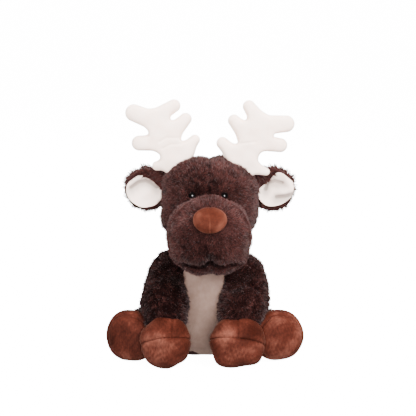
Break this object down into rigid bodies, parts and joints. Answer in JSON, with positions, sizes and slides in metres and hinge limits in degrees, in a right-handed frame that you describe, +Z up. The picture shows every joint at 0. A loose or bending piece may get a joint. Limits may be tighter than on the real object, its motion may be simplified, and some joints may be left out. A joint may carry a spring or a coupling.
{
  "type": "plush deer",
  "caption": "Sitting plush deer with stuffed antlers, cupped ears, a big round muzzle and padded hooves; head, ears, antlers and limbs bend on their sewn joints.",
  "frame": {"origin": "middle of the flat seat, on the surface it sits on", "axes": "+Z up along its height, -Y the way it faces, +X its left hand seen from the front (the viewer's right)"},
  "size_m": [0.2504, 0.1933, 0.3294],
  "materials": {
    "plush_pile": "short curled plush pile, matt with a faint sheen",
    "belly_cream": "short cream plush",
    "velboa_cream": "smooth short velboa",
    "hoof_rust": "brushed minky",
    "nose_rust": "brushed minky",
    "filling": "loose polyester fibre",
    "pellets": "woven pouch of pellets",
    "thread": "twisted thread",
    "eye_black": "polished",
    "washer_plastic": "moulded"
  },
  "bodies": {
    "torso": {"torso_skin": "plush_pile", "belly_panel": "belly_cream", "torso_filling": "filling", "pellet_pouch": "pellets"},
    "head": {"head_skin": "plush_pile", "head_filling": "filling", "muzzle_skin": "plush_pile", "chin_panel": "plush_pile", "muzzle_filling": "filling", "nose": "nose_rust", "philtrum_thread": "thread", "eye_left": "eye_black", "eye_right": "eye_black", "eye_washer_left": "washer_plastic", "eye_washer_right": "washer_plastic"},
    "ear_left": {"ear_back_left": "plush_pile", "ear_lining_left": "velboa_cream"},
    "antler_left": {"antler_front_left": "velboa_cream", "antler_back_left": "velboa_cream", "antler_filling_left": "filling"},
    "arm_left": {"arm_sleeve_left": "plush_pile", "arm_hoof_left": "hoof_rust", "arm_sole_left": "hoof_rust", "arm_filling_left": "filling"},
    "leg_left": {"leg_sleeve_left": "plush_pile", "leg_hoof_left": "hoof_rust", "leg_sole_left": "hoof_rust", "leg_filling_left": "filling"},
    "ear_right": {"ear_back_right": "plush_pile", "ear_lining_right": "velboa_cream"},
    "antler_right": {"antler_front_right": "velboa_cream", "antler_back_right": "velboa_cream", "antler_filling_right": "filling"},
    "arm_right": {"arm_sleeve_right": "plush_pile", "arm_hoof_right": "hoof_rust", "arm_sole_right": "hoof_rust", "arm_filling_right": "filling"},
    "leg_right": {"leg_sleeve_right": "plush_pile", "leg_hoof_right": "hoof_rust", "leg_sole_right": "hoof_rust", "leg_filling_right": "filling"}
  },
  "joints": [
    {"name": "neck_turn", "type": "hinge", "parent": "torso", "child": "head", "pos_m": [0.0035, -0.0125, 0.137], "axis": [0, 0, 1], "range_deg": [-10, 10], "stiffness_Nm_per_rad": 0.6},
    {"name": "ear_fold_left", "type": "hinge", "parent": "head", "child": "ear_left", "pos_m": [-0.05301, -0.011, 0.21252], "axis": [0, 0, 1], "range_deg": [-15, 20], "stiffness_Nm_per_rad": 0.05},
    {"name": "antler_bend_left", "type": "hinge", "parent": "head", "child": "antler_left", "pos_m": [-0.04435, -0.029, 0.24196], "axis": [1, 0, 0], "range_deg": [-15, 15], "stiffness_Nm_per_rad": 0.25},
    {"name": "shoulder_left", "type": "hinge", "parent": "torso", "child": "arm_left", "pos_m": [-0.052, -0.018, 0.11508], "axis": [-0.9945, 0, -0.1045], "range_deg": [0, 16], "stiffness_Nm_per_rad": 0.5},
    {"name": "hip_left", "type": "hinge", "parent": "torso", "child": "leg_left", "pos_m": [-0.044, 0.01, 0.0273], "axis": [0, 0, -1], "range_deg": [0, 30], "stiffness_Nm_per_rad": 0.4},
    {"name": "ear_fold_right", "type": "hinge", "parent": "head", "child": "ear_right", "pos_m": [0.06701, -0.011, 0.21252], "axis": [0, 0, -1], "range_deg": [-15, 20], "stiffness_Nm_per_rad": 0.05},
    {"name": "antler_bend_right", "type": "hinge", "parent": "head", "child": "antler_right", "pos_m": [0.05835, -0.029, 0.24196], "axis": [1, 0, 0], "range_deg": [-15, 15], "stiffness_Nm_per_rad": 0.25},
    {"name": "shoulder_right", "type": "hinge", "parent": "torso", "child": "arm_right", "pos_m": [0.052, -0.018, 0.11508], "axis": [-0.9945, 0, 0.1045], "range_deg": [0, 16], "stiffness_Nm_per_rad": 0.5},
    {"name": "hip_right", "type": "hinge", "parent": "torso", "child": "leg_right", "pos_m": [0.044, 0.01, 0.0273], "axis": [0, 0, 1], "range_deg": [0, 30], "stiffness_Nm_per_rad": 0.4}
  ]
}
